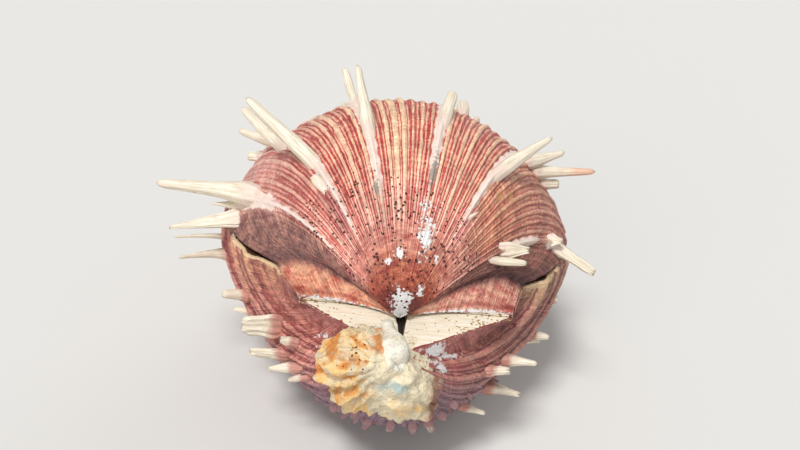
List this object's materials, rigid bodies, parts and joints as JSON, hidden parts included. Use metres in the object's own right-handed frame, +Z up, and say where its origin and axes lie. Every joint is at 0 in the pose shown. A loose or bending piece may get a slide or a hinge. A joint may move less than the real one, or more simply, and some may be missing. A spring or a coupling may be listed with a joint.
{
  "type": "spiny oyster shell",
  "caption": "Closed, deep thorny bivalve shell with fine radiating ribs, long pale spines, a straight hinge and a lump of reef crust on the lower beak.",
  "frame": {"origin": "middle of the base of the bounding box, on the surface that the shell rests on", "axes": "+Z up, square to the plane where the valves meet; +Y from the hinge to the far margin; +X to the right, seen from the hinge side"},
  "size_m": [0.1252, 0.127, 0.0966],
  "materials": {
    "upper_valve": "rose-red and cream calcite, satin, with ivory spines and chalky worn spots",
    "lower_valve": "dusty purple-red calcite, matte, with a cream hinge plate and pale spines",
    "hinge_ligament": "dried black ligament, dull",
    "attachment_crust": "chalky cream and ochre reef crust, rough and pitted"
  },
  "bodies": {
    "root": {"upper_valve": "upper_valve", "lower_valve": "lower_valve", "hinge_ligament": "hinge_ligament", "attachment_crust": "attachment_crust"}
  },
  "joints": []
}
